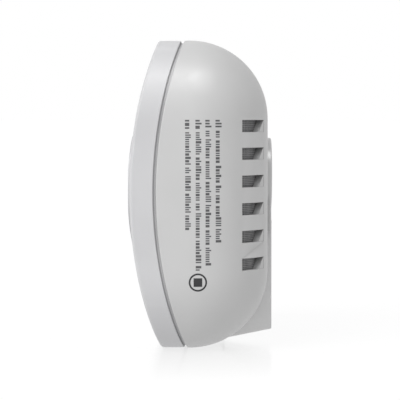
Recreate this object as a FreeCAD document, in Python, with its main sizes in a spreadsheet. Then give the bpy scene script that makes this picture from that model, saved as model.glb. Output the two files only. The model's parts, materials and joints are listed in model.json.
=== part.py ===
import FreeCAD, Part
import math
import os
import re

import Sketcher

# A wall-mounted smoke detector. The origin is the centre of the mounting plate's wall face.
# +X points out of the wall, +Z up, +Y to the right of someone facing the wall. Millimetres.

SIZES = {
    # Head: a rounded square with a domed front, a bowed back and a bowed parting line
    "plan_half": 51.7, "plan_corner": 27.0, "shoulder": 26.2, "front_x": 47.25, "shell": 2.1,
    "bow": 141.4, "bow_z": 1.4, "seam_x": 10.1, "seam_gap": 0.9, "groove_depth": 0.9, "back_x": 1.5,
    "back_inset": 0.1, "rim_round": 0.4, "back_round": 0.9,
    # Base tray
    "tray_depth": 21.0, "floor": 2.2, "lip_clear": 0.3, "lip_wall": 1.2, "lip_rise": 2.5,
    "pillar": 4.2, "pillar_top": 18.9, "cup": 33.2, "cup_top": 11.2, "recess": 31.0, "recess_floor": 9.0,
    "board_post": 3.2,
    # Mounting plate and its bayonet
    "pad": 19.3, "pad_bore": 17.1, "pad_crown": 0.2, "plate_floor": 2.6, "flange": 28.0, "flange_back": 5.2,
    "plate_front": 7.4, "lug": 30.6, "lug_back": 5.8, "lug_angle": 20, "ledge": 28.4, "ledge_front": 5.6,
    "ledge_angle": 22, "wall_hole": 2.2, "wall_hole_y": 11.0,
    # Vents, cut square to the shoulder on both sides, and the screens behind them
    "vent_height": 3.98, "vent_pitch": 9.08, "vent_mid": 0.37, "vent_start": 41.1, "vent_end": 70.1,
    "ramp_wide": 4.1, "ramp_outer": 26.0, "ramp_inner": 23.7, "ramp_bite": 0.6, "ramp_turn": 65.1,
    "screen_outer": 23.6, "screen_wall": 0.5, "screen_margin": 5.0, "screen_reach": 24.9,
    # Test button and the switch behind it
    "button": 12.8, "button_z": 6.0, "button_front": 49.25, "button_hole": 13.1, "button_round": 0.6,
    "flange_wide": 13.4, "flange_rear": 43.3, "flange_front": 44.5, "button_bore": 11.4, "button_skin": 47.2,
    "collar_bore": 13.7, "collar": 15.2, "collar_rear": 40.0, "plunger": 2.5, "plunger_end": 24.2,
    "key": 6.0, "key_front": 20.5, "key_bore": 1.75, "key_floor": 18.8, "stem": 1.7, "stem_rear": 19.9,
    "stem_front": 24.1,
    # Battery door: hinged at its top edge, with a sloping finger lip at its foot
    "hinge_x": 46.35, "hinge_z": -10.1, "door_half": 9.9, "door_gap": 0.3, "door_wall": 1.6,
    "proud_x": 49.15, "door_round": 0.5, "door_foot": -47.0, "lip_x": 33.0, "lip_z": -50.25,
    "door_cavity_top": -13.1, "opening_rear": 32.5, "opening_foot": -50.7, "pin": 0.7, "pin_bore": 0.75,
    "pin_half": 12.2, "ear_half": 12.8, "ear_rear": 42.6, "ear_front": 48.95, "ear_top": -4.5,
    "ear_foot": -13.0, "ear_overlap": 0.2, "ear_round": 0.5,
    # Circuit board
    "board_x": 15.4, "board_thick": 1.6, "board_half": 45.0, "board_notch": 23.0,
    "board_screw_y": 39.0, "board_screw_z": 12.0, "corner_screw": 37.0, "boss": 3.5,
    # Battery and its bay
    "cell": 7.8, "cell_x": 38.8, "cell_top": -13.4, "cell_length": 26.2, "cell_round": 0.8, "nub": 3.2,
    "nub_rise": 0.8, "bay_rear": 29.2, "bay_front": 37.2, "bay_half": 9.8, "bay_wall": 1.4,
    "bay_top": -10.4, "bay_foot": -42.6, "leaf": 0.4, "leaf_half": 3.0, "leaf_clear": 0.1, "bay_leg": 3.0,
    "bay_leg_high": -17.0, "bay_leg_low": -37.0,
    # Smoke chamber
    "chamber": 18.0, "chamber_z": 25.0, "chamber_floor": 2.2, "cap_front": 32.4, "cap_thick": 1.4,
    "cap": 17.0, "fin_inner": 13.6, "fin_long": 3.4, "fin_thick": 0.8, "fin_turn": 40,
    "mesh_inner": 17.15, "mesh_wall": 0.3, "rim_wall": 0.4, "rim_rise": 1.2,
    "fin_clear": 0.3, "holder": 5.4, "holder_inner": 7.0, "lamp": 1.5, "lamp_long": 4.6, "lamp_clear": 0.05,
    # Sounder
    "sounder": 13.0, "sounder_y": -25.5, "sounder_z": -23.0, "sounder_front": 30.0, "sounder_wall": 1.4,
    "sounder_port": 3.0, "disc": 11.4, "disc_clear": 0.2, "disc_thick": 0.4, "disc_x": 23.6,
    "disc_ledge": 10.2, "ledge_thick": 1.0, "spring_pin": 0.6,
    "sound_slot": 1.6, "sound_slot_long": 10.0, "sound_slot_pitch": 3.0, "sound_slot_mid": -18.5,
    # Indicator
    "pipe": 1.45, "pipe_clear": 0.05, "pipe_y": 18.0, "pipe_rear": 18.8, "pipe_front": 47.75,
    "pipe_round": 0.6, "status_wide": 3.2, "status_tall": 2.8, "status_rise": 1.7,
    # Smaller parts on the board
    "chip_leg": 0.4, "chip_leg_out": 1.0, "radio_thick": 1.0, "shield_rise": 2.6, "shield_wall": 0.3,
    "can_round": 0.5, "coil_y": -31.0, "coil_z": 2.0, "coil": 4.0, "coil_waist": 3.2, "coil_high": 7.0,
    "coil_rim": 1.2,
    # Screws
    "thread": 0.95, "thread_clear": 0.05, "pass_clear": 0.3, "head": 2.4, "head_clear": 0.4, "head_rise": 1.6,
    "slot_wide": 0.6, "slot_deep": 0.7, "board_bite": 6.0, "drill_tip": 1.0, "cover_head_rear": 8.9,
    "cover_bite": 29.0,
}
BIG = 200.0   # reaches past the whole object
VENTS = 6
SOUND_SLOTS = 5
FINS = 18
LUG_TURNS = (90, 210, 330)   # degrees about X, from straight down
SIDES = (-1, 1)
CORNERS = [(a, b) for a in SIDES for b in SIDES]
BAY_LEGS = ("bay_leg_high", "bay_leg_low")
BOARD_FRONT = "board_x + board_thick"

# Where the smaller parts stand on the board: y, z, then their own sizes
MICRO = (26, 14, 7, 10, 1.8)       # low y, low z, width, height, rise
RADIO = (-40, 16, 20, 14)          # low y, low z, width, height
SHIELD = (-38, 17.5, 12, 11)       # low y, low z, width, height
CANS = ((20, -16, 4, 12), (20, -27, 4, 12), (31, -12, 2.5, 8))   # y, z, radius, rise
RESISTORS = (26, -26, 4.5, 3)      # first low y, first low z, column pitch, row pitch
RESISTOR = (3.0, 1.6, 0.7)         # width, height, rise
MICRO_LEGS = 8
RESISTOR_ROWS = 4
OPTICS = (("emitter", "infrared_emitter", 215), ("receiver", "photodiode", 325))   # degrees about X

doc = FreeCAD.newDocument("SmokeDetector")
sheet = doc.addObject("Spreadsheet::Sheet", "Sizes")
for row, (alias, size) in enumerate(SIZES.items(), start=1):
    sheet.set(f"A{row}", alias)
    sheet.set(f"B{row}", str(size))
    sheet.setAlias(f"B{row}", alias)
doc.recompute()
parts = []


# ---------------------------------------------------------------- helpers

def sized(text):
    """Points each size name in an expression at its cell in the sheet."""
    def cell(word):
        return "Sizes." + word.group() if word.group() in SIZES else word.group()
    return re.sub(r"[a-z][a-z_]*", cell, str(text))


def number(text):
    """The present value of an expression written in size names."""
    return float(sheet.evalExpression(sized(text)))


def bind(thing, **properties):
    """Binds properties to expressions; x, y and z place the object."""
    for name, text in properties.items():
        path = f"Placement.Base.{name}" if name in ("x", "y", "z") else name
        thing.setExpression(path, sized(text))
    return thing


AXES = {"x": FreeCAD.Rotation(FreeCAD.Vector(0, 1, 0), 90),
        "y": FreeCAD.Rotation(FreeCAD.Vector(1, 0, 0), -90),
        "z": FreeCAD.Rotation()}


def cylinder(name, radius, length, at, axis="x", turn=0, angle=360):
    """A cylinder from at along +axis; under 360 degrees it is a sector starting at turn."""
    made = doc.addObject("Part::Cylinder", name)
    spin = FreeCAD.Rotation(FreeCAD.Vector(0, 0, 1), turn)
    made.Placement = FreeCAD.Placement(FreeCAD.Vector(), AXES[axis] * spin)
    return bind(made, Radius=radius, Height=length, Angle=angle, x=at[0], y=at[1], z=at[2])


def box(name, low, high):
    """A box between two corners."""
    made = doc.addObject("Part::Box", name)
    spans = [f"({b}) - ({a})" for a, b in zip(low, high)]
    return bind(made, Length=spans[0], Width=spans[1], Height=spans[2], x=low[0], y=low[1], z=low[2])


def fuse(name, *pieces):
    made = doc.addObject("Part::MultiFuse", name)
    made.Shapes = list(pieces)
    made.Refine = True
    return made


def cut(name, base, *tools):
    made = doc.addObject("Part::Cut", name)
    made.Base = base
    made.Tool = tools[0] if len(tools) == 1 else fuse(name + "_tools", *tools)
    made.Refine = True
    return made


def common(name, base, tool):
    made = doc.addObject("Part::Common", name)
    made.Base = base
    made.Tool = tool
    made.Refine = True
    return made


def body(name):
    return doc.addObject("PartDesign::Body", name)


def sketch(owner, role, offset="0"):
    """A sketch on one of the body's own origin planes, moved along the plane's normal."""
    made = owner.newObject("Sketcher::SketchObject", owner.Name + "_sketch")
    plane = [feature for feature in owner.Origin.OriginFeatures if feature.Role == role][0]
    made.AttachmentSupport = [(plane, "")]
    made.MapMode = "FlatFace"
    made.setExpression("AttachmentOffset.Base.z", sized(offset))
    return made


def outline(drawing, corners):
    """A closed loop of straight sides; each corner is held by two expressions."""
    first = drawing.GeometryCount
    points = [FreeCAD.Vector(number(a), number(b), 0) for a, b in corners]
    for here, there in zip(points, points[1:] + points[:1]):
        drawing.addGeometry(Part.LineSegment(here, there))
    for index, (point, texts) in enumerate(zip(points, corners)):
        following = first + (index + 1) % len(points)
        drawing.addConstraint(Sketcher.Constraint("Coincident", first + index, 2, following, 1))
        for kind, value, text in zip(("DistanceX", "DistanceY"), point, texts):
            held = drawing.addConstraint(Sketcher.Constraint(kind, -1, 1, first + index, 1, value))
            drawing.setExpression(f"Constraints[{held}]", sized(text))


def rectangle(drawing, low, high):
    outline(drawing, [low, (high[0], low[1]), high, (low[0], high[1])])


def circle(drawing, centre, radius):
    middle = FreeCAD.Vector(number(centre[0]), number(centre[1]), 0)
    ring = drawing.addGeometry(Part.Circle(middle, FreeCAD.Vector(0, 0, 1), number(radius)))
    for kind, value, text in zip(("DistanceX", "DistanceY"), middle, centre):
        held = drawing.addConstraint(Sketcher.Constraint(kind, -1, 1, ring, 3, value))
        drawing.setExpression(f"Constraints[{held}]", sized(text))
    held = drawing.addConstraint(Sketcher.Constraint("Radius", ring, number(radius)))
    drawing.setExpression(f"Constraints[{held}]", sized(radius))


def feature(owner, kind, drawing, length, **properties):
    """A Pad or Pocket of a sketch, by an expression for its length."""
    made = owner.newObject("PartDesign::" + kind, owner.Name + "_" + kind.lower())
    made.Profile = drawing
    bind(made, Length=length)
    for name, value in properties.items():
        setattr(made, name, value)
    doc.recompute()
    return made


def round_edges(owner, base, radius, wanted):
    """Rounds the edges of a body's last feature that wanted(edge) picks."""
    made = owner.newObject("PartDesign::Fillet", owner.Name + "_fillet")
    names = [f"Edge{i}" for i, edge in enumerate(base.Shape.Edges, start=1) if wanted(edge)]
    made.Base = (base, names)
    bind(made, Radius=radius)
    doc.recompute()
    return made


def blend_edges(name, base, radius, wanted):
    """Rounds the edges that wanted(edge) picks on a boolean's result."""
    doc.recompute()
    made = doc.addObject("Part::Fillet", name)
    made.Base = base
    size = number(radius)
    made.Edges = [(i, size, size) for i, edge in enumerate(base.Shape.Edges, start=1) if wanted(edge)]
    return made


def along_x(edge):
    ends = [vertex.Point for vertex in edge.Vertexes]
    return len(ends) == 2 and abs(ends[0].y - ends[1].y) + abs(ends[0].z - ends[1].z) < 1e-6


def at_plane_x(x):
    """Picks edges that lie in the plane at x."""
    return lambda edge: abs(edge.BoundBox.XMin - x) < 1e-4 and abs(edge.BoundBox.XMax - x) < 1e-4


def part(label, made):
    """Names a finished sub-part."""
    made.Label = label
    parts.append(made)
    return made


def signed(sign, text):
    return f"{sign} * ({text})"


# ---------------------------------------------------------------- shared head shapes

def head_block(name, inset):
    """The head's full outline, from the wall plane to the domed front, shrunk evenly by inset."""
    owner = body(name)
    drawing = sketch(owner, "YZ_Plane")
    half = f"plan_half - ({inset})"
    front = f"front_x - ({inset})"
    rectangle(drawing, (signed(-1, half), signed(-1, half)), (half, half))
    block = feature(owner, "Pad", drawing, front)
    block = round_edges(owner, block, f"plan_corner - ({inset})", along_x)
    round_edges(owner, block, f"shoulder - ({inset})", at_plane_x(number(front)))
    return owner


def bowed(name, nearest_x, shrink="0"):
    """Everything in front of a face that bows along Z and is straight along Y."""
    radius = f"bow - {shrink}"
    return cylinder(name, radius, BIG, (f"{nearest_x} + {radius}", -BIG / 2, "bow_z"), axis="y")


def on_bowed_face(*nearest):
    """Picks edges that lie on a bowed face through any of the given x positions."""
    radius = number("bow")
    centres = [FreeCAD.Vector(number(x) + radius, 0, number("bow_z")) for x in nearest]

    def wanted(edge):
        points = edge.discretize(5)
        flat = [FreeCAD.Vector(point.x, 0, point.z) for point in points]
        return any(all(abs((point - centre).Length - radius) < 1e-3 for point in flat) for centre in centres)
    return wanted


# ---------------------------------------------------------------- mounting plate

def make_mounting_plate():
    """A dished plate: its bowed pad has a flat land on the wall, its flange three bayonet lugs."""
    owner = body("plate_body")
    drawing = sketch(owner, "YZ_Plane")
    circle(drawing, ("0", "0"), "pad")
    feature(owner, "Pad", drawing, "plate_front")
    drawing = sketch(owner, "YZ_Plane", "flange_back")
    circle(drawing, ("0", "0"), "flange")
    feature(owner, "Pad", drawing, "plate_front - flange_back")
    drawing = sketch(owner, "YZ_Plane", "plate_front")
    circle(drawing, ("0", "0"), "pad_bore")
    feature(owner, "Pocket", drawing, "plate_front - plate_floor")
    drawing = sketch(owner, "YZ_Plane", "plate_front")
    for side in SIDES:
        circle(drawing, (signed(side, "wall_hole_y"), "0"), "wall_hole")
    feature(owner, "Pocket", drawing, "plate_front")
    lugs = []
    for turn in LUG_TURNS:
        start = turn - number("lug_angle") / 2
        lugs.append(cylinder(f"lug_{turn}", "lug", "plate_front - lug_back", ("lug_back", "0", "0"),
                             turn=start, angle="lug_angle"))
    lug_ring = cut("lug_ring", fuse("lug_sectors", *lugs),
                   cylinder("lug_core", "flange - shell", BIG, ("0", "0", "0")))
    plate = fuse("plate_flat", owner, lug_ring)
    part("mounting_plate", common("plate", plate, bowed("plate_back", "-pad_crown")))


# ---------------------------------------------------------------- base tray

def make_base_tray():
    """The bowed tray behind the parting line, with the bayonet recess, posts and pillars."""
    owner = body("tray_block")
    drawing = sketch(owner, "YZ_Plane")
    half = "plan_half - back_inset"
    rectangle(drawing, (signed(-1, half), signed(-1, half)), (half, half))
    block = feature(owner, "Pad", drawing, "tray_depth")
    block = round_edges(owner, block, "plan_corner", along_x)
    slab = common("tray_slab", owner, bowed("tray_rear_trim", "back_x"))
    slab = cut("tray_slab_cut", slab, bowed("tray_front_cut", "seam_x - seam_gap"))
    rim = blend_edges("tray_rim_front", slab, "rim_round", on_bowed_face("seam_x - seam_gap"))
    rim = blend_edges("tray_rim", rim, "back_round", on_bowed_face("back_x"))
    step = cut("tray_step", head_block("step_block", "groove_depth"), bowed("step_front_cut", "seam_x"))
    lip = cut("tray_lip", head_block("lip_block", "shell + lip_clear"),
              bowed("lip_front_cut", "seam_x + lip_rise"))
    hollow = common("tray_hollow", head_block("hollow_block", "shell + lip_clear + lip_wall"),
                    bowed("tray_floor_face", "back_x + floor", "floor"))
    shell = cut("tray_shell", fuse("tray_walls", rim, step, lip), hollow)
    stands = [cylinder("cup_wall", "cup", "cup_top", ("0", "0", "0"))]
    for a, b in CORNERS:
        stands.append(cylinder(f"pillar_{a}{b}", "pillar", "pillar_top",
                               ("0", f"{a} * corner_screw", f"{b} * corner_screw")))
        stands.append(cylinder(f"post_{a}{b}", "board_post", "board_x",
                               ("0", f"{a} * board_screw_y", f"{b} * board_screw_z")))
    drilled = [cylinder("recess_bore", "recess", "recess_floor", ("0", "0", "0"))]
    for a, b in CORNERS:
        spot = (f"{a} * corner_screw", f"{b} * corner_screw")
        drilled.append(cylinder(f"pillar_hole_{a}{b}", "thread + pass_clear", BIG, ("0", *spot)))
        drilled.append(cylinder(f"pillar_sink_{a}{b}", "head + head_clear", "cover_head_rear + head_rise",
                                ("0", *spot)))
        spot = (f"{a} * board_screw_y", f"{b} * board_screw_z")
        drilled.append(cylinder(f"post_hole_{a}{b}", "thread + thread_clear", "board_bite + drill_tip",
                                ("board_x - board_bite - drill_tip", *spot)))
    tray = cut("tray_drilled", fuse("tray_full", shell, *stands), *drilled)
    ledges = []
    for turn in LUG_TURNS:
        start = turn - number("ledge_angle") / 2
        ledges.append(cylinder(f"ledge_{turn}", "(recess + cup) / 2", "ledge_front", ("0", "0", "0"),
                               turn=start, angle="ledge_angle"))
    ledge_ring = cut("ledge_ring", fuse("ledge_sectors", *ledges),
                     cylinder("ledge_core", "ledge", BIG, ("0", "0", "0")))
    tray = common("tray_bowed", fuse("tray_ledged", tray, ledge_ring), bowed("tray_back_face", "back_x"))
    part("base_tray", tray)


# ---------------------------------------------------------------- front cover

def vent_sectors(name, radius):
    """Blocks that cut the vents: one wedge for each slot, on both sides of the head."""
    wedges = []
    for side in SIDES:
        start = number("vent_start") - 90 if side < 0 else 90 - number("vent_end")
        for index in range(VENTS):
            low = f"vent_mid + {index - (VENTS - 1) / 2} * vent_pitch - vent_height / 2"
            spot = ("front_x - shoulder", signed(side, "plan_half - shoulder"), low)
            wedges.append(cylinder(f"{name}_{side}_{index}", radius, "vent_height", spot, axis="z",
                                   turn=start, angle="vent_end - vent_start"))
    return wedges


def vent_ramps():
    """A sloping web in the front lower corner of each vent, set back from the outer face."""
    ramps = []
    angle = math.radians(number("ramp_turn"))
    up = FreeCAD.Vector(0, 0, 1)
    for side in SIDES:
        forward = FreeCAD.Vector(math.cos(angle), -side * math.sin(angle), 0)
        turned = FreeCAD.Rotation(forward, up, forward.cross(up))
        depths = ("-ramp_outer", "-ramp_inner") if side > 0 else ("ramp_inner", "ramp_outer")
        for index in range(VENTS):
            low = f"vent_mid + {index - (VENTS - 1) / 2} * vent_pitch - vent_height / 2"
            ramp = doc.addObject("Part::Wedge", f"ramp_{side}_{index}")
            ramp.Placement = FreeCAD.Placement(FreeCAD.Vector(), turned)
            bind(ramp, Xmin="-ramp_wide / 2", Xmax="ramp_wide / 2 + ramp_bite", Ymin="-ramp_bite",
                 Ymax="vent_height", X2min="ramp_wide / 2", X2max="ramp_wide / 2 + ramp_bite",
                 Zmin=depths[0], Zmax=depths[1], Z2min=depths[0], Z2max=depths[1],
                 x="front_x - shoulder", y=signed(side, "plan_half - shoulder"), z=low)
            ramps.append(ramp)
    return ramps


def hinge_ears():
    """Two proud ears beside the door's barrel that hold the ends of its pin."""
    ears = []
    for side in SIDES:
        faces = [signed(side, "ear_half"), signed(side, "door_half + door_gap - ear_overlap")]
        low_y, high_y = sorted(faces, key=number)
        ear = box(f"ear_block_{side}", ("ear_rear", low_y, "ear_foot"), ("ear_front", high_y, "ear_top"))
        ears.append(blend_edges(f"hinge_ear_{side}", ear, "ear_round", at_plane_x(number("ear_front"))))
    return ears


def make_front_cover():
    """The domed shell with vents, button hole, battery opening, sound slots and screw bosses."""
    outer = head_block("cover_block", "0")
    rim = common("cover_outer", outer, bowed("cover_rear_face", "seam_x"))
    rim = blend_edges("cover_rim", rim, "rim_round", on_bowed_face("seam_x"))
    shell = cut("cover_shell", rim, head_block("cover_hollow", "shell"))
    collar_length = "front_x - shell / 2 - collar_rear"
    stands = [cylinder("button_collar", "collar", collar_length, ("collar_rear", "0", "button_z"))]
    for a, b in CORNERS:
        stands.append(cylinder(f"boss_{a}{b}", "boss", "front_x - pillar_top",
                               ("pillar_top", f"{a} * corner_screw", f"{b} * corner_screw")))
    inside = common("cover_inside", fuse("cover_stands", *stands), head_block("cover_trim", "shell / 2"))
    half = "door_half + door_gap"
    openings = [
        cylinder("button_opening", "button_hole", BIG, ("collar_rear", "0", "button_z")),
        cylinder("flange_room", "collar_bore", "front_x - shell - collar_rear",
                 ("collar_rear", "0", "button_z")),
        box("door_opening", ("opening_rear", signed(-1, half), "opening_foot"),
            (BIG, half, "hinge_z + proud_x - hinge_x + door_gap")),
        cylinder("pipe_opening", "pipe + pipe_clear", BIG, ("collar_rear", "pipe_y", "button_z")),
        cylinder("pin_opening", "pin", "2 * pin_half", ("hinge_x", "-pin_half", "hinge_z"), axis="y"),
    ]
    for index in range(SOUND_SLOTS):
        middle = f"sound_slot_mid + {index - (SOUND_SLOTS - 1) / 2} * sound_slot_pitch"
        openings.append(box(f"sound_slot_{index}",
                            ("front_x - 2 * shell", "sounder_y", f"{middle} - sound_slot / 2"),
                            (BIG, "sounder_y + sound_slot_long", f"{middle} + sound_slot / 2")))
    for a, b in CORNERS:
        openings.append(cylinder(f"boss_hole_{a}{b}", "thread + thread_clear",
                                 "cover_bite - pillar_top + drill_tip",
                                 ("pillar_top", f"{a} * corner_screw", f"{b} * corner_screw")))
    full = fuse("cover_full", shell, inside, *hinge_ears())
    vented = cut("cover_vented", full, *vent_sectors("vent", "2 * shoulder"))
    part("front_cover", cut("cover", fuse("cover_ramped", vented, *vent_ramps()), *openings))


def make_vent_screens():
    """A curved dust screen behind each row of vents."""
    screens = []
    first = number("vent_start - screen_margin")
    last = number("vent_end + screen_margin")
    for side in SIDES:
        start = first - 90 if side < 0 else 90 - last
        spot = ("front_x - shoulder", signed(side, "plan_half - shoulder"), "vent_mid - screen_reach")
        angle = "vent_end - vent_start + 2 * screen_margin"
        outer = cylinder(f"screen_outer_{side}", "screen_outer", "2 * screen_reach", spot, "z", start, angle)
        core = cylinder(f"screen_core_{side}", "screen_outer - screen_wall", BIG, (*spot[:2], -BIG / 2), "z")
        screens.append(cut(f"screen_{side}", outer, core))
    part("vent_screens", fuse("screens", *screens))


# ---------------------------------------------------------------- test button and switch

def make_test_button():
    """A round button with a hidden retaining flange and a plunger that reaches the switch."""
    owner = body("button_body")
    drawing = sketch(owner, "YZ_Plane", "flange_front")
    circle(drawing, ("0", "button_z"), "button")
    block = feature(owner, "Pad", drawing, "button_front - flange_front")
    round_edges(owner, block, "button_round", at_plane_x(number("button_front")))
    drawing = sketch(owner, "YZ_Plane", "flange_rear")
    circle(drawing, ("0", "button_z"), "flange_wide")
    feature(owner, "Pad", drawing, "flange_front - flange_rear")
    drawing = sketch(owner, "YZ_Plane", "button_skin")
    circle(drawing, ("0", "button_z"), "button_bore")
    feature(owner, "Pocket", drawing, "button_skin - flange_rear")
    drawing = sketch(owner, "YZ_Plane", "plunger_end")
    circle(drawing, ("0", "0"), "plunger")
    feature(owner, "Pad", drawing, "(button_skin + button_front) / 2 - plunger_end")
    part("test_button", owner)


def make_switch():
    """A square key switch on the board with its own moving stem."""
    half = "key / 2"
    case = box("key_case", (BOARD_FRONT, signed(-1, half), signed(-1, half)), ("key_front", half, half))
    bore = cylinder("key_hole", "key_bore", BIG, ("key_floor", "0", "0"))
    part("switch_body", cut("key_body", case, bore))
    part("switch_plunger", cylinder("key_stem", "stem", "stem_front - stem_rear", ("stem_rear", "0", "0")))


# ---------------------------------------------------------------- battery door

def make_battery_door():
    """A shallow box lid with a round hinge barrel at its top and a sloping lip at its foot."""
    owner = body("door_block")
    drawing = sketch(owner, "XZ_Plane")
    outline(drawing, [("lip_x", "hinge_z"), ("proud_x", "hinge_z"), ("proud_x", "door_foot"),
                      ("lip_x", "lip_z")])
    block = feature(owner, "Pad", drawing, "2 * door_half", Midplane=True)
    top = number("hinge_z")
    rear = number("lip_x")

    def outer_edge(edge):
        return edge.BoundBox.ZMin < top - 1e-4 and edge.BoundBox.XMax > rear + 1e-4

    round_edges(owner, block, "door_round", outer_edge)
    inner = body("door_inner")
    drawing = sketch(inner, "XZ_Plane")
    outline(drawing, [("lip_x + door_wall", "door_cavity_top"), ("proud_x - door_wall", "door_cavity_top"),
                      ("proud_x - door_wall", "door_foot + door_wall"),
                      ("lip_x + door_wall", "lip_z + 1.2 * door_wall")])
    feature(inner, "Pad", drawing, "2 * (door_half - door_wall)", Midplane=True)
    lid = cut("door_lid", owner, inner, head_block("door_fit", "shell"))
    barrel = cylinder("door_barrel", "proud_x - hinge_x", "2 * door_half",
                      ("hinge_x", "-door_half", "hinge_z"), "y")
    bore = cylinder("door_bore", "pin_bore", BIG, ("hinge_x", -BIG / 2, "hinge_z"), "y")
    part("battery_door", cut("door", fuse("door_full", lid, barrel), bore))
    pin = cylinder("door_pin", "pin", "2 * pin_half", ("hinge_x", "-pin_half", "hinge_z"), "y")
    part("door_hinge_pin", pin)


# ---------------------------------------------------------------- battery, bay and contacts

def make_battery():
    """A lithium cell standing upright, its positive nub at the top."""
    owner = body("cell_body")
    drawing = sketch(owner, "XY_Plane", "cell_top - cell_length")
    circle(drawing, ("cell_x", "0"), "cell")
    block = feature(owner, "Pad", drawing, "cell_length")
    round_edges(owner, block, "cell_round", lambda edge: True)
    drawing = sketch(owner, "XY_Plane", "cell_top - cell_round")
    circle(drawing, ("cell_x", "0"), "nub")
    feature(owner, "Pad", drawing, "nub_rise + cell_round")
    part("battery_cell", owner)


def make_battery_bay():
    """An open-fronted trough on two legs that holds the cell and both contacts."""
    shell = box("bay_shell", ("bay_rear", "-bay_half", "bay_foot"), ("bay_front", "bay_half", "bay_top"))
    room = box("bay_room", ("bay_rear + bay_wall", "bay_wall - bay_half", "bay_foot + bay_wall"),
               (BIG, "bay_half - bay_wall", "bay_top - bay_wall"))
    legs = []
    holes = []
    for name in BAY_LEGS:
        spot = (BOARD_FRONT, "0", name)
        legs.append(cylinder(name + "_post", "bay_leg", f"bay_rear - ({BOARD_FRONT})", spot))
        holes.append(cylinder(name + "_hole", "thread + thread_clear", "board_bite + drill_tip", spot))
    slots = []
    for name, low in (("slot_high", "bay_top - bay_wall - leaf - leaf_clear"),
                      ("slot_low", "bay_foot + bay_wall - leaf_clear")):
        slots.append(box(name, ("bay_rear", "-leaf_half - leaf_clear", low),
                         ("bay_rear + bay_wall", "leaf_half + leaf_clear", f"{low} + leaf + 2 * leaf_clear")))
    part("battery_bay", cut("bay", fuse("bay_full", shell, *legs), room, *holes, *slots))


def make_contacts():
    """Two bent spring strips that run from the board into the bay."""
    top = "bay_top - bay_wall"
    owner = body("positive_strip")
    drawing = sketch(owner, "XZ_Plane")
    rectangle(drawing, (BOARD_FRONT, f"{top} - leaf"), ("bay_front", top))
    feature(owner, "Pad", drawing, "2 * leaf_half", Midplane=True)
    part("positive_contact", owner)
    foot = "bay_foot + bay_wall"
    touch = "cell_top - cell_length - leaf_clear"
    owner = body("negative_strip")
    drawing = sketch(owner, "XZ_Plane")
    outline(drawing, [(BOARD_FRONT, foot), ("bay_front - leaf", foot), ("bay_front", f"{foot} + leaf"),
                      ("cell_x - cell / 2", touch), ("cell_x - cell", touch),
                      ("cell_x - cell", f"{touch} - leaf"), ("cell_x - cell / 2 - leaf", f"{touch} - leaf"),
                      ("bay_front - 4 * leaf", f"{foot} + leaf"), (BOARD_FRONT, f"{foot} + leaf")])
    feature(owner, "Pad", drawing, "2 * leaf_half", Midplane=True)
    part("negative_contact", owner)


# ---------------------------------------------------------------- circuit board and what it carries

def make_circuit_board():
    """A board with clipped corners, held on four posts."""
    owner = body("board_body")
    drawing = sketch(owner, "YZ_Plane", "board_x")
    inner = "board_half - board_notch"
    ring = [("board_half", inner), (inner, "board_half")]
    corners = []
    for a, b in ((1, 1), (-1, 1), (-1, -1), (1, -1)):
        turned = ring if a * b > 0 else ring[::-1]
        corners += [(signed(a, y), signed(b, z)) for y, z in turned]
    outline(drawing, corners)
    for a, b in CORNERS:
        circle(drawing, (f"{a} * board_screw_y", f"{b} * board_screw_z"), "thread + pass_clear")
    for name in BAY_LEGS:
        circle(drawing, ("0", name), "thread + pass_clear")
    feature(owner, "Pad", drawing, "board_thick")
    part("circuit_board", owner)


def on_board(rise):
    """The x position this far in front of the board."""
    return f"{BOARD_FRONT} + {rise}"


def chip(label, low_y, low_z, wide, tall, rise):
    """A flat component on the board."""
    return box(label, (BOARD_FRONT, low_y, low_z), (on_board(rise), f"{low_y} + {wide}", f"{low_z} + {tall}"))


def make_microcontroller():
    """A chip with a row of legs on each long side."""
    low_y, low_z, wide, tall, rise = MICRO
    pieces = [chip("micro_block", low_y, low_z, wide, tall, rise)]
    for index in range(MICRO_LEGS):
        middle = low_z + (index + 0.5) * tall / MICRO_LEGS
        pieces.append(box(f"micro_leg_{index}",
                          (BOARD_FRONT, f"{low_y} - chip_leg_out", f"{middle} - chip_leg / 2"),
                          (on_board("chip_leg"), f"{low_y + wide} + chip_leg_out",
                           f"{middle} + chip_leg / 2")))
    part("microcontroller", fuse("micro_all", *pieces))


def make_radio():
    """A small radio board with a folded metal shield on it."""
    part("radio_board", chip("radio_block", *RADIO, "radio_thick"))
    low_y, low_z, wide, tall = SHIELD
    rear = on_board("radio_thick")
    shield = box("shield_box", (rear, low_y, low_z), (f"{rear} + shield_rise", low_y + wide, low_z + tall))
    hollow = box("shield_room", ("board_x", f"{low_y} + shield_wall", f"{low_z} + shield_wall"),
                 (f"{rear} + shield_rise - shield_wall", f"{low_y + wide} - shield_wall",
                  f"{low_z + tall} - shield_wall"))
    part("radio_shield", cut("shield", shield, hollow))


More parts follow.
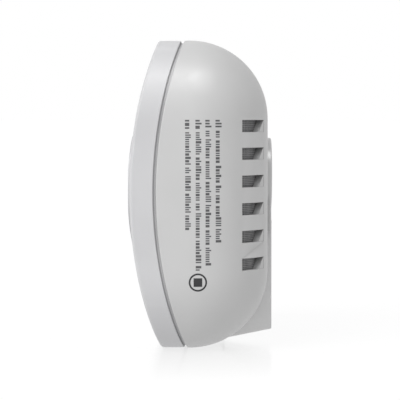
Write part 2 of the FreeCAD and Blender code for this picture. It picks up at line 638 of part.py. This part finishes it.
def make_small_parts():
    """The status light, the capacitors, the resistors and the sounder's coil."""
    part("status_light", chip("status_block", "(pipe_y - status_wide / 2)", "(button_z - status_tall / 2)",
                              "status_wide", "status_tall", "status_rise"))
    cans = []
    for index, (y, z, radius, rise) in enumerate(CANS):
        can = cylinder(f"can_{index}", radius, rise, (BOARD_FRONT, y, z))
        top = number(on_board(rise))
        cans.append(blend_edges(f"can_round_{index}", can, "can_round", at_plane_x(top)))
    part("capacitors", fuse("cans", *cans))
    low_y, low_z, across, up = RESISTORS
    chips = [chip(f"resistor_{column}{row}", low_y + column * across, low_z + row * up, *RESISTOR)
             for column in range(2) for row in range(RESISTOR_ROWS)]
    part("resistors", fuse("resistor_group", *chips))
    core = cylinder("coil_core", "coil", "coil_high", (BOARD_FRONT, "coil_y", "coil_z"))
    spot = (on_board("coil_rim"), "coil_y", "coil_z")
    length = "coil_high - 2 * coil_rim"
    ring = cut("coil_ring", cylinder("coil_ring_outer", "2 * coil", length, spot),
               cylinder("coil_ring_inner", "coil_waist", length, spot))
    part("sounder_coil", cut("coil_cut", core, ring))


# ---------------------------------------------------------------- smoke chamber

DISH_FRONT = f"{BOARD_FRONT} + chamber_floor"
CHAMBER = ("0", "chamber_z")


def make_chamber_base():
    """A dish with two drilled holders, a lamp in one and a light detector in the other."""
    dish = cylinder("dish_disc", "chamber", "chamber_floor + rim_rise", (BOARD_FRONT, *CHAMBER))
    dish_room = cylinder("dish_room", "chamber - rim_wall", BIG, (DISH_FRONT, *CHAMBER))
    size = number("holder")
    holders = []
    bores = []
    for name, label, turn in OPTICS:
        angle = math.radians(turn)
        arm = FreeCAD.Vector(0, math.cos(angle), math.sin(angle))
        centre = FreeCAD.Vector(number(DISH_FRONT), 0, number("chamber_z"))
        block = doc.addObject("Part::Feature", name + "_holder")
        block.Shape = Part.makeBox(size, size, size, FreeCAD.Vector(0, -size / 2, -size / 2))
        place = centre + arm * (number("holder_inner") + size / 2)
        block.Placement = FreeCAD.Placement(place, FreeCAD.Rotation(FreeCAD.Vector(1, 0, 0), turn))
        holders.append(block)
        start = centre + arm * number("holder_inner") + FreeCAD.Vector(size / 2, 0, 0)
        bore = doc.addObject("Part::Feature", name + "_bore")
        bore.Shape = Part.makeCylinder(number("lamp + lamp_clear"), 2 * size, start - arm * (size / 2), arm)
        bores.append(bore)
        barrel = Part.makeCylinder(number("lamp"), number("lamp_long"), start, arm)
        lamp = doc.addObject("Part::Feature", name)
        lamp.Shape = barrel.fuse(Part.makeSphere(number("lamp"), start)).removeSplitter()
        part(label, lamp)
    dish = fuse("dish_full", cut("dish_open", dish, dish_room), *holders)
    part("smoke_chamber_base", cut("dish", dish, *bores))


def make_chamber_cap():
    """A lid with a ring of leaning fins that keep light out and let smoke in."""
    fins = []
    for index in range(FINS):
        turn = 360 * index / FINS
        angle = math.radians(turn)
        fin = doc.addObject("Part::Box", f"fin_{index}")
        spot = FreeCAD.Vector(0, math.cos(angle), math.sin(angle)) * number("fin_inner")
        lean = FreeCAD.Rotation(FreeCAD.Vector(1, 0, 0), turn + number("fin_turn"))
        fin.Placement = FreeCAD.Placement(spot, lean)
        bind(fin, Length=f"cap_front - cap_thick / 2 - ({DISH_FRONT} + fin_clear)", Width="fin_long",
             Height="fin_thick", x=f"{DISH_FRONT} + fin_clear", z=f"chamber_z + {spot.z}")
        fins.append(fin)
    lid = cylinder("cap_disc", "cap", "cap_thick", ("cap_front - cap_thick", *CHAMBER))
    part("smoke_chamber_cap", fuse("cap", lid, *fins))


def make_insect_screen():
    """A thin ring around the fins."""
    height = f"cap_front - ({DISH_FRONT})"
    ring = cylinder("mesh_outer", "mesh_inner + mesh_wall", height, (DISH_FRONT, *CHAMBER))
    core = cylinder("mesh_core", "mesh_inner", BIG, ("0", *CHAMBER))
    part("insect_screen", cut("mesh", ring, core))


# ---------------------------------------------------------------- sounder

def make_sounder():
    """A resonator cup with a small port, and the brass disc that drives it."""
    owner = body("cup_body")
    drawing = sketch(owner, "XZ_Plane")
    bore = "disc + disc_clear"
    ledge = "disc_x - ledge_thick"
    outline(drawing, [(BOARD_FRONT, bore), (ledge, bore), (ledge, "disc_ledge"), ("disc_x", "disc_ledge"),
                      ("disc_x", bore), ("sounder_front - sounder_wall", bore),
                      ("sounder_front - sounder_wall", "sounder_port"), ("sounder_front", "sounder_port"),
                      ("sounder_front", "sounder"), (BOARD_FRONT, "sounder")])
    turned = owner.newObject("PartDesign::Revolution", "cup_turned")
    turned.Profile = drawing
    turned.ReferenceAxis = (drawing, ["H_Axis"])
    turned.Angle = 360
    bind(owner, y="sounder_y", z="sounder_z")
    part("sounder_housing", owner)
    part("piezo_disc", cylinder("disc_plate", "disc", "disc_thick", ("disc_x", "sounder_y", "sounder_z")))
    pins = [cylinder(f"spring_pin_{side}", "spring_pin", f"disc_x - ({BOARD_FRONT})",
                     (BOARD_FRONT, f"sounder_y + {side} * disc / 2", "sounder_z")) for side in SIDES]
    part("sounder_contacts", fuse("spring_pins", *pins))


def make_light_pipe():
    """A clear rod that carries the status light to the front."""
    rod = cylinder("pipe_rod", "pipe", "pipe_front - pipe_rear", ("pipe_rear", "pipe_y", "button_z"))
    part("light_pipe", blend_edges("pipe_rounded", rod, "pipe_round", at_plane_x(number("pipe_front"))))


# ---------------------------------------------------------------- screws

def screw(name, seat_x, bite, y, z, forward):
    """A slotted screw whose head sits at seat_x; forward screws point along +X."""
    tip = seat_x if forward else f"{seat_x} - ({bite})"
    head_low = f"{seat_x} - head_rise" if forward else seat_x
    slot_low = head_low if forward else f"{seat_x} + head_rise - slot_deep"
    shaft = cylinder(name + "_shaft", "thread", bite, (tip, y, z))
    head = cylinder(name + "_head", "head", "head_rise", (head_low, y, z))
    slot = box(name + "_slot", (slot_low, f"{y} - head", f"{z} - slot_wide / 2"),
               (f"{slot_low} + slot_deep", f"{y} + head", f"{z} + slot_wide / 2"))
    return cut(name, fuse(name + "_whole", shaft, head), slot)


def make_screws():
    """Screws of the same kind share one sub-part."""
    grip = "board_bite + board_thick"
    board = [screw(f"board_screw_{a}{b}", BOARD_FRONT, grip, f"{a} * board_screw_y", f"{b} * board_screw_z",
                   False) for a, b in CORNERS]
    part("board_screws", fuse("board_screw_group", *board))
    seat = "cover_head_rear + head_rise"
    cover = [screw(f"cover_screw_{a}{b}", seat, f"cover_bite - ({seat})", f"{a} * corner_screw",
                   f"{b} * corner_screw", True) for a, b in CORNERS]
    part("cover_screws", fuse("cover_screw_group", *cover))
    bay = [screw("screw_" + name, "board_x", grip, "0", name, True) for name in BAY_LEGS]
    part("bay_screws", fuse("bay_screw_group", *bay))


# ---------------------------------------------------------------- build and export

def check_document():
    """Stops if any object failed or any sub-part has no valid solid."""
    for thing in doc.Objects:
        if "Invalid" in thing.State or "Error" in thing.State:
            raise RuntimeError(f"{thing.Name} failed: {thing.State}")
    for made in parts:
        if made.Shape.isNull() or not made.Shape.isValid() or not made.Shape.Solids:
            raise RuntimeError(f"{made.Label} has no valid solid")


def export_parts():
    """Writes each sub-part to its own file."""
    os.makedirs("parts", exist_ok=True)
    for made in parts:
        made.Shape.exportStep(f"parts/{made.Label}.step")


make_mounting_plate()
make_base_tray()
make_front_cover()
make_vent_screens()
make_test_button()
make_switch()
make_battery_door()
make_battery()
make_battery_bay()
make_contacts()
make_circuit_board()
make_microcontroller()
make_radio()
make_small_parts()
make_chamber_base()
make_chamber_cap()
make_insect_screen()
make_sounder()
make_light_pipe()
make_screws()
doc.recompute()
check_document()
export_parts()
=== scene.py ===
import json
import math
import random

import bmesh
import bpy
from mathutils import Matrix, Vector
from mathutils.bvhtree import BVHTree


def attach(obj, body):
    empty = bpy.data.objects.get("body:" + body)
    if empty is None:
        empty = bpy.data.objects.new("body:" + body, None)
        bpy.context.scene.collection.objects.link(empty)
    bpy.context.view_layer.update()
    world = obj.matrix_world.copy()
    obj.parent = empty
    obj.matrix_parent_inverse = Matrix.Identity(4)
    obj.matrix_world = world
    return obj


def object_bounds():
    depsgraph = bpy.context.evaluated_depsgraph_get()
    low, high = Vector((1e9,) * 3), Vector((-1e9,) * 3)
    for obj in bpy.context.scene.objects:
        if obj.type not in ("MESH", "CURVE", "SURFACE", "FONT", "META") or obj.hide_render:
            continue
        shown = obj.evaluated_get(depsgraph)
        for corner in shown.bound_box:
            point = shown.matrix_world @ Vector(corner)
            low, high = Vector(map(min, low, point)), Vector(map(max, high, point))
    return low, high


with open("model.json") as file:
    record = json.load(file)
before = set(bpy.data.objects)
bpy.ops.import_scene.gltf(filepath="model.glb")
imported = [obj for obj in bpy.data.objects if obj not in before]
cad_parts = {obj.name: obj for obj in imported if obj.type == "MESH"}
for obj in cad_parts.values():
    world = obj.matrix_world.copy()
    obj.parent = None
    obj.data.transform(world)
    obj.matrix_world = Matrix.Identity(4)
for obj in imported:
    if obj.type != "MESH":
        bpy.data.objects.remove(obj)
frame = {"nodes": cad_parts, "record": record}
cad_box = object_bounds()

# The looks of a wall-mounted smoke detector. Metres; +X points out of the wall, +Z up.

MM = 0.001
CREASE_REACH = 0.003   # how far the painted crease shade looks for a facing wall
scene = bpy.context.scene
nodes = frame["nodes"]


# ---------------------------------------------------------------- material helpers

class Surface:
    """A material under construction: its node tree, its shader and its place-fixed coordinates."""

    def __init__(self, name):
        self.material = bpy.data.materials.new(name)
        self.material.use_nodes = True
        self.tree = self.material.node_tree
        self.shader = self.tree.nodes["Principled BSDF"]
        self.place = self.add("ShaderNodeTexCoord").outputs["Object"]

    def add(self, kind, settings=None, **inputs):
        """Adds a node; settings are its own properties, inputs are values or links by socket name."""
        node = self.tree.nodes.new(kind)
        for key, value in (settings or {}).items():
            setattr(node, key, value)
        for key, value in inputs.items():
            self.put(node, key.replace("_", " "), value)
        return node

    def put(self, node, socket, value):
        """Sets an input to a value, or links it to another node's output."""
        target = node.inputs[int(socket)] if socket.isdigit() else node.inputs[socket]
        if isinstance(value, bpy.types.NodeSocket):
            self.tree.links.new(value, target)
        else:
            target.default_value = value

    def set(self, **values):
        """Sets the shader's own sockets."""
        for key, value in values.items():
            self.put(self.shader, key.replace("_", " "), value)
        return self

    def noise(self, scale, detail=2.0, rough=0.5, place=None):
        """Cloudy noise from 0 to 1; scale is the number of its cells in a metre."""
        made = self.add("ShaderNodeTexNoise", Vector=place or self.place, Scale=scale, Detail=detail,
                        Roughness=rough)
        return made.outputs["Fac"]

    def spread(self, value, low, high, start=0.3, end=0.7):
        """Maps a value's middle range onto low to high."""
        made = self.add("ShaderNodeMapRange", Value=value)
        for key, number in (("From Min", start), ("From Max", end), ("To Min", low), ("To Max", high)):
            made.inputs[key].default_value = number
        return made.outputs["Result"]

    def tint(self, factor, first, second):
        """A colour between two, by a factor."""
        made = self.add("ShaderNodeMix", {"data_type": "RGBA"})
        self.put(made, "0", factor)
        self.put(made, "6", (*first, 1))
        self.put(made, "7", (*second, 1) if isinstance(second, tuple) else second)
        return made.outputs[2]

    def over(self, factor, under, top):
        """Lays a plain colour over a colour output, by a factor."""
        made = self.add("ShaderNodeMix", {"data_type": "RGBA"})
        self.put(made, "0", factor)
        self.put(made, "6", under)
        self.put(made, "7", (*top, 1))
        return made.outputs[2]

    def edges(self, start=0.52, end=0.6):
        """1 on sharp outer edges, 0 elsewhere."""
        return self.spread(self.add("ShaderNodeNewGeometry").outputs["Pointiness"], 0.0, 1.0, start, end)

    def creases(self, reach):
        """0 deep in a crease between two faces, 1 in the open; reach in metres."""
        made = self.add("ShaderNodeAmbientOcclusion", {"samples": 8})
        made.inputs["Distance"].default_value = reach
        return made.outputs["AO"]

    def relief(self, height, depth, below=None):
        """Adds fine relief; depth is its height in metres."""
        made = self.add("ShaderNodeBump", Height=height, Distance=depth)
        made.inputs["Strength"].default_value = 1.0
        if below is not None:
            self.put(made, "Normal", below)
        return made.outputs["Normal"]


def shade(colour, factor):
    """A colour made lighter or darker."""
    return tuple(min(1.0, channel * factor) for channel in colour)


def moulded_plastic(name, colour, roughness, grain=2600, depth=0.000012, wear=1.06, mottle=0.03,
                    crease_shade=0.68):
    """Injection-moulded plastic: eroded grain, faint flow marks, polished edges, and painted shade that
    darkens its creases.
    """
    flow_scale, patch_scale, ripple_scale = 38, 210, 70
    patch_swing, grain_swing = 0.03, 0.04   # swings in roughness
    ripple_depth = 0.00004
    made = Surface(name)
    flow = made.noise(flow_scale, 3)
    base = made.tint(made.spread(flow, 0, 1), shade(colour, 1 - mottle), shade(colour, 1 + mottle))
    edge = made.over(made.edges(), base, shade(colour, wear))
    # Painted shade: deep in creases, seams and slots the colour darkens towards 0.35 of itself, standing
    # in for the shade there.
    shaded_creases = made.spread(made.creases(CREASE_REACH), crease_shade, 0.0, 0.3, 0.85)
    made.set(Base_Color=made.over(shaded_creases, edge, shade(colour, 0.35)))
    fine = made.noise(grain, 3, 0.6)
    patchy = made.add("ShaderNodeMath", {"operation": "ADD"})
    made.put(patchy, "0", made.spread(made.noise(patch_scale, 2), -patch_swing, patch_swing))
    made.put(patchy, "1", made.spread(fine, roughness - grain_swing, roughness + grain_swing))
    made.set(Roughness=patchy.outputs[0])
    ripple = made.relief(made.noise(ripple_scale, 1), ripple_depth)
    made.set(Normal=made.relief(fine, depth, ripple))
    made.shader.inputs["Specular IOR Level"].default_value = 0.45
    return made.material


def woven_screen(name, colour, pitch):
    """A fine woven screen that keeps dirt out; pitch is the distance between threads in metres."""
    cloud_scale, thread_depth = 300, 0.00008
    made = Surface(name)
    split = made.add("ShaderNodeSeparateXYZ", Vector=made.place)
    threads = []
    for axis in (1, 2):
        wave = made.add("ShaderNodeMath", {"operation": "SINE"})
        turn = made.add("ShaderNodeMath", {"operation": "MULTIPLY"})
        made.put(turn, "0", split.outputs[axis])
        made.put(turn, "1", 2 * math.pi / pitch)
        made.put(wave, "0", turn.outputs[0])
        threads.append(wave.outputs[0])
    highest = made.add("ShaderNodeMath", {"operation": "MAXIMUM"})
    made.put(highest, "0", threads[0])
    made.put(highest, "1", threads[1])
    weave = highest.outputs[0]
    cloud = made.spread(made.noise(cloud_scale, 2), -0.2, 0.2)
    mixed = made.add("ShaderNodeMath", {"operation": "ADD"})
    made.put(mixed, "0", made.spread(weave, 0, 1, 0.0, 1.0))
    made.put(mixed, "1", cloud)
    made.set(Base_Color=made.tint(mixed.outputs[0], shade(colour, 0.35), shade(colour, 1.25)))
    made.set(Roughness=made.spread(weave, 0.75, 0.5, 0, 1), Normal=made.relief(weave, thread_depth))
    return made.material


def machined_metal(name, colour, roughness, brush=1500, depth=0.000006):
    """Plated or rolled metal with fine drawn lines and handling marks."""
    mark_scale = 420
    made = Surface(name)
    stretch = made.add("ShaderNodeMapping", Vector=made.place)
    stretch.inputs["Scale"].default_value = (0.08, 1.0, 1.0)
    lines = made.noise(brush, 3, 0.6, stretch.outputs[0])
    marks = made.noise(mark_scale, 4)
    base = made.tint(made.spread(marks, 0, 1), shade(colour, 0.86), shade(colour, 1.04))
    made.set(Base_Color=made.over(made.edges(), base, shade(colour, 1.15)), Metallic=1.0)
    made.set(Roughness=made.spread(lines, roughness - 0.07, roughness + 0.09))
    made.set(Normal=made.relief(lines, depth))
    return made.material


def board_laminate(name, colour, copper):
    """Solder mask over copper tracks: fine parallel tracks show as slightly raised, lighter lines."""
    track_scale, cloud_scale, gloss_scale = 130, 160, 900
    track_depth = 0.00003
    made = Surface(name)
    bricks = made.add("ShaderNodeTexBrick", {"offset": 0.37, "squash": 1.0})
    turned = made.add("ShaderNodeMapping", Vector=made.place)
    turned.inputs["Rotation"].default_value = (0, math.radians(90), 0)
    made.put(bricks, "Vector", turned.outputs[0])
    bricks.inputs["Scale"].default_value = track_scale
    bricks.inputs["Mortar Size"].default_value = 0.035
    bricks.inputs["Mortar Smooth"].default_value = 0.3
    track = bricks.outputs["Fac"]
    cloud = made.spread(made.noise(cloud_scale, 3), 0, 1)
    base = made.tint(cloud, shade(colour, 0.85), shade(colour, 1.15))
    made.set(Base_Color=made.over(track, base, copper))
    made.set(Roughness=made.spread(made.noise(gloss_scale, 2), 0.25, 0.4),
             Normal=made.relief(track, track_depth))
    return made.material


def clear_rod(name):
    """Polished clear acrylic with faint moulding ripples."""
    ripple_scale, ripple_depth = 500, 0.00002
    made = Surface(name)
    cloud = made.spread(made.noise(ripple_scale, 2), 0, 1)
    made.set(Base_Color=made.tint(cloud, (0.86, 0.88, 0.88), (0.95, 0.96, 0.96)))
    made.set(Roughness=made.spread(cloud, 0.06, 0.14, 0, 1), Normal=made.relief(cloud, ripple_depth))
    made.shader.inputs["Transmission Weight"].default_value = 0.85
    made.shader.inputs["IOR"].default_value = 1.49
    return made.material


def printed_ink(name, colour):
    """Pad-printed ink: matt and a little uneven."""
    speck_scale, speck_depth = 4200, 0.000008
    made = Surface(name)
    speck = made.spread(made.noise(speck_scale, 3), 0, 1)
    made.set(Base_Color=made.tint(speck, shade(colour, 0.9), shade(colour, 1.25)))
    made.set(Roughness=made.spread(speck, 0.55, 0.7, 0, 1), Normal=made.relief(speck, speck_depth))
    return made.material


# ---------------------------------------------------------------- materials on the CAD nodes

SHELL = (0.575, 0.575, 0.575)
SHELL_COOL = (0.592, 0.592, 0.604)   # the tray and plate, a little bluer
SHELL_PAINTED_LIGHT = shade(SHELL, 1.18)      # the button and door, a little lighter: painted light, standing in for the light from the front on their proud edges

FINISHES = {
    "cover": moulded_plastic("cover_plastic", SHELL, 0.46),
    "base": moulded_plastic("base_plastic", SHELL_COOL, 0.50),
    # The button and door take the lighter shell colour, which is painted light, and next to no painted
    # crease shade.
    "button": moulded_plastic("button_plastic", SHELL_PAINTED_LIGHT, 0.34, depth=0.000006, crease_shade=0.05),
    "door": moulded_plastic("door_plastic", SHELL_PAINTED_LIGHT, 0.42, crease_shade=0.05),
    "dark": moulded_plastic("dark_plastic", (0.02, 0.02, 0.022), 0.55, wear=1.6, mottle=0.15),
    "inner": moulded_plastic("inner_plastic", (0.45, 0.45, 0.43), 0.5),
    "screen": woven_screen("screen_mesh", (0.28, 0.28, 0.285), 0.0006),
    "board": board_laminate("board_laminate", (0.012, 0.09, 0.035), (0.03, 0.17, 0.06)),
    "lens": moulded_plastic("lens_epoxy", (0.03, 0.012, 0.035), 0.12, depth=0.000003, mottle=0.1),
    "clear": clear_rod("clear_plastic"),
    "steel": machined_metal("plated_steel", (0.60, 0.60, 0.59), 0.3),
    "can": machined_metal("can_aluminium", (0.72, 0.73, 0.74), 0.26, 900),
    "brass": machined_metal("disc_brass", (0.74, 0.52, 0.21), 0.28),
    "wrap": moulded_plastic("cell_wrap", (0.02, 0.06, 0.20), 0.22, depth=0.000004, mottle=0.08),
    "component": moulded_plastic("component_body", (0.05, 0.048, 0.045), 0.6, mottle=0.2),
}
FINISH_OF_SLOT = {
    "cover_plastic": "cover", "base_plastic": "base", "dark_plastic": "dark", "inner_plastic": "inner",
    "screen_mesh": "screen", "board_laminate": "board", "lens_black": "lens", "clear_plastic": "clear",
    "plated_steel": "steel", "can_aluminium": "can", "disc_brass": "brass", "cell_wrap": "wrap",
    "component_body": "component",
}
FINISH_OF_NODE = {"test_button": "button", "battery_door": "door"}


def dress_nodes():
    """Gives every CAD node its own finish, or the finish of its record slot."""
    for entry in frame["record"]["subparts"]:
        finish = FINISH_OF_NODE.get(entry["node"], FINISH_OF_SLOT[entry["material_slot"]])
        mesh = nodes[entry["node"]].data
        mesh.materials.clear()
        mesh.materials.append(FINISHES[finish])


# ---------------------------------------------------------------- printed marks

ROWS = ((20.6, -12.4), (24.0, -25.4), (27.2, -23.6), (30.5, -16.1))   # x and lowest z of each row, mm
ROW_TOP = 25.1
BOLD = (2.0, 0.55)    # height and stroke of the first group in a row, mm
PLAIN = (1.8, 0.42)   # height and stroke of the rest
BOLD_COUNT = 3                   # blocks in the first group
PLAIN_COUNTS = (3, 6, 8, 10, 13)
TALLS = (0.7, 0.7, 1.0)          # block heights, as shares of the row's height
WIDES = (1.0, 1.0, 1.9)          # block widths, in strokes
BLOCK_GAP = 0.7                  # in strokes
GROUP_GAP = 0.35                 # as a share of the row's height
INK_RISE = 0.03
INK_STEP = 0.5                   # the ink bends with the cover at this spacing, mm
LINE_INK = (0.085, 0.085, 0.088)
RING_INK = (0.018, 0.018, 0.020)
MARK = (23.8, -27.7, 2.98)       # x, z and radius of the ring mark
RING_STROKE = 0.55
RING_STEPS = 48
SQUARE_HALF = 1.4

cover_tree = BVHTree.FromObject(nodes["front_cover"], bpy.context.evaluated_depsgraph_get())


def side_y(x, z):
    """Where the cover's near side lies, in mm, for a point in mm."""
    hit = cover_tree.ray_cast(Vector((x * MM, -1, z * MM)), Vector((0, 1, 0)))[0]
    return hit.y / MM


def ink_patch(mesh, grid):
    """Lays a closed thin patch of ink over a grid of (x, z) points on the near side."""
    layers = []
    for rise in (INK_RISE, -INK_RISE / 2):
        layers.append([[mesh.verts.new((x * MM, (side_y(x, z) - rise) * MM, z * MM)) for x, z in row]
                       for row in grid])
    front, back = layers
    high, wide = len(grid), len(grid[0])
    for i in range(high - 1):
        for j in range(wide - 1):
            mesh.faces.new((front[i][j], front[i][j + 1], front[i + 1][j + 1], front[i + 1][j]))
            mesh.faces.new((back[i][j], back[i + 1][j], back[i + 1][j + 1], back[i][j + 1]))
    rim = [(0, j) for j in range(wide)] + [(i, wide - 1) for i in range(1, high)]
    rim += [(high - 1, j) for j in range(wide - 2, -1, -1)] + [(i, 0) for i in range(high - 2, 0, -1)]
    for here, there in zip(rim, rim[1:] + rim[:1]):
        mesh.faces.new((front[there[0]][there[1]], front[here[0]][here[1]],
                        back[here[0]][here[1]], back[there[0]][there[1]]))


def ink_object(name, mesh, colour):
    """Turns finished patches into a piece that rides on the head."""
    bmesh.ops.recalc_face_normals(mesh, faces=mesh.faces)
    data = bpy.data.meshes.new(name)
    mesh.to_mesh(data)
    mesh.free()
    made = bpy.data.objects.new(name, data)
    scene.collection.objects.link(made)
    data.materials.append(printed_ink(name + "_ink", colour))
    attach(made, "head")
    return made


def stroke(mesh, x, z, across, down):
    """A short straight stroke of ink with its corner at x, z, in mm."""
    steps = max(1, round(down / INK_STEP))
    ink_patch(mesh, [[(x + across * side, z - down * step / steps) for side in (0, 0.5, 1)]
                     for step in range(steps + 1)])


def tick(mesh, chance, x, z, size):
    """A plain block of ink in one of two heights and two widths; gives the next block's z."""
    height, thick = size
    tall = height * chance.choice(TALLS)
    wide = thick * chance.choice(WIDES)
    stroke(mesh, x - height / 2, z, tall, wide)
    return z - wide - thick * BLOCK_GAP


def printed_lines():
    """Four rows of plain blocks that stand for lines of small print."""
    chance = random.Random(7)
    mesh = bmesh.new()
    for x, lowest in ROWS:
        z = ROW_TOP
        size = BOLD
        while z > lowest + size[0]:
            for _ in range(BOLD_COUNT if size is BOLD else chance.choice(PLAIN_COUNTS)):
                if z > lowest + size[0]:
                    z = tick(mesh, chance, x, z, size)
            z -= size[0] * GROUP_GAP
            size = PLAIN
    return ink_object("printed_lines", mesh, LINE_INK)


def printed_ring():
    """A plain ring, in four arcs, with a square in it."""
    x, z, radius = MARK
    mesh = bmesh.new()
    turns = [2 * math.pi * step / RING_STEPS for step in range(RING_STEPS)]
    quarter = RING_STEPS // 4
    for start in range(0, RING_STEPS, quarter):
        span = [turns[(start + step) % RING_STEPS] for step in range(quarter + 1)]
        ink_patch(mesh, [[(x + r * math.cos(turn), z + r * math.sin(turn))
                          for r in (radius - RING_STROKE, radius)] for turn in span])
    spots = [SQUARE_HALF * share / 2 for share in range(-2, 3)]
    ink_patch(mesh, [[(x + a, z + b) for a in spots] for b in spots])
    return ink_object("printed_ring", mesh, RING_INK)


# ---------------------------------------------------------------- floor, light and camera

FLOOR_GLOW = 0.614
FLOOR_MATT = (0.10, 0.10, 0.10)
FLOOR_GLOSS = 0.32                   # under the head; it fades to none further out
FADE_NEAR, FADE_FAR = 0.025, 0.120   # distances from below the plate between which it fades
FLOOR_ROUGH = 0.14
FLOOR_REACH = 60.0
FLOOR_DROP = 0.0001                  # keeps the floor just clear of the head's foot
MIRRORED = 0.95                      # the world's brightness in reflections
FILL_REAR, FILL_FRONT = 1.05, 0.78   # fill light from behind and in front of the head
FILL_LOW, FILL_HIGH = 0.78, 0.70     # and from below and above
KEY_POWER, KEY_ANGLE = 1.60, 36
KEY_FROM = (-0.45, -0.62, 0.62)
SHEEN_POWER, SHEEN_ANGLE = 2.9, 22   # this lamp only adds to gloss
SHEEN_FROM = (0.15, -0.41, 0.90)
CAMERA_PLACE = (0.02448, -0.710, 0.02546)
CAMERA_DIP = 2.288                   # degrees below level
CAMERA_LENS = 183
CAMERA_REACH = 200


def make_floor():
    """A plain white light table: it glows, so its shadows are faint, and it mirrors the head's foot."""
    cloud_scale = 3
    level = cad_box[0][2] - FLOOR_DROP
    data = bpy.data.meshes.new("floor")
    corners = [(a * FLOOR_REACH, b * FLOOR_REACH, level) for a, b in ((-1, -1), (1, -1), (1, 1), (-1, 1))]
    data.from_pydata(corners, [], [(0, 1, 2, 3)])
    made = bpy.data.objects.new("floor", data)
    scene.collection.objects.link(made)
    made.visible_diffuse = False
    made.visible_shadow = False
    surface = Surface("floor_acrylic")
    cloud = surface.noise(cloud_scale, 2)
    surface.tree.nodes.remove(surface.shader)
    far = surface.add("ShaderNodeVectorMath", {"operation": "DISTANCE"})
    surface.put(far, "0", surface.place)
    surface.put(far, "1", (0, 0, level))
    distance = far.outputs["Value"]
    shine = surface.spread(distance, FLOOR_GLOSS, 0, FADE_NEAR, FADE_FAR)
    full_glow = FLOOR_GLOW + FLOOR_GLOSS * MIRRORED
    power = surface.spread(distance, FLOOR_GLOW, full_glow, FADE_NEAR, FADE_FAR)
    glow = surface.add("ShaderNodeEmission", Color=surface.tint(cloud, (0.99, 0.99, 0.99), (1, 1, 1)),
                       Strength=power)
    matt = surface.add("ShaderNodeBsdfDiffuse", Color=(*FLOOR_MATT, 1))
    gloss = surface.add("ShaderNodeBsdfGlossy", Color=shine, Roughness=FLOOR_ROUGH)
    sheet = surface.add("ShaderNodeAddShader")
    surface.put(sheet, "0", glow.outputs[0])
    surface.put(sheet, "1", matt.outputs[0])
    whole = surface.add("ShaderNodeAddShader")
    surface.put(whole, "0", sheet.outputs[0])
    surface.put(whole, "1", gloss.outputs[0])
    surface.put(surface.tree.nodes["Material Output"], "Surface", whole.outputs[0])
    data.materials.append(surface.material)


def make_world():
    """A white studio: bright where it is seen or mirrored, dimmer as fill light."""
    world = bpy.data.worlds.new("studio")
    scene.world = world
    world.use_nodes = True
    tree = world.node_tree
    place = tree.nodes.new("ShaderNodeTexCoord")
    split = tree.nodes.new("ShaderNodeSeparateXYZ")
    tree.links.new(place.outputs["Generated"], split.inputs[0])
    fills = []
    for axis, low, high in (("X", FILL_REAR, FILL_FRONT), ("Z", FILL_LOW, FILL_HIGH)):
        ramp = tree.nodes.new("ShaderNodeMapRange")
        tree.links.new(split.outputs[axis], ramp.inputs["Value"])
        for key, number in (("From Min", -1), ("From Max", 1), ("To Min", low), ("To Max", high)):
            ramp.inputs[key].default_value = number
        fills.append(ramp.outputs["Result"])
    fill = tree.nodes.new("ShaderNodeMath")
    fill.operation = "MULTIPLY"
    tree.links.new(fills[0], fill.inputs[0])
    tree.links.new(fills[1], fill.inputs[1])
    rays = tree.nodes.new("ShaderNodeLightPath")
    level = fill.outputs[0]
    for kind, strength in (("Is Glossy Ray", MIRRORED), ("Is Camera Ray", 1.0)):
        blend = tree.nodes.new("ShaderNodeMix")
        tree.links.new(rays.outputs[kind], blend.inputs[0])
        tree.links.new(level, blend.inputs[2])
        blend.inputs[3].default_value = strength
        level = blend.outputs[0]
    back = tree.nodes["Background"]
    tree.links.new(level, back.inputs["Strength"])
    back.inputs["Color"].default_value = (1, 1, 1, 1)


def make_lamp(name, toward, power, angle):
    """A soft distant lamp; toward points from the head to it."""
    data = bpy.data.lights.new(name, "SUN")
    data.energy = power
    data.angle = math.radians(angle)
    made = bpy.data.objects.new(name, data)
    made.rotation_euler = (-Vector(toward)).to_track_quat("-Z", "Y").to_euler()
    scene.collection.objects.link(made)
    return made


def make_camera():
    """A long lens square to the head's side, a little above its middle."""
    data = bpy.data.cameras.new("camera")
    data.sensor_width = 36
    data.lens = CAMERA_LENS
    data.clip_end = CAMERA_REACH
    made = bpy.data.objects.new("camera", data)
    made.location = CAMERA_PLACE
    made.rotation_euler = (math.radians(90 - CAMERA_DIP), 0, 0)
    scene.collection.objects.link(made)
    scene.camera = made


dress_nodes()
printed_lines()
printed_ring()
make_floor()
make_world()
make_lamp("key", KEY_FROM, KEY_POWER, KEY_ANGLE)
make_lamp("sheen", SHEEN_FROM, SHEEN_POWER, SHEEN_ANGLE).visible_diffuse = False
make_camera()
scene.view_settings.view_transform = "Standard"
scene.view_settings.look = "None"
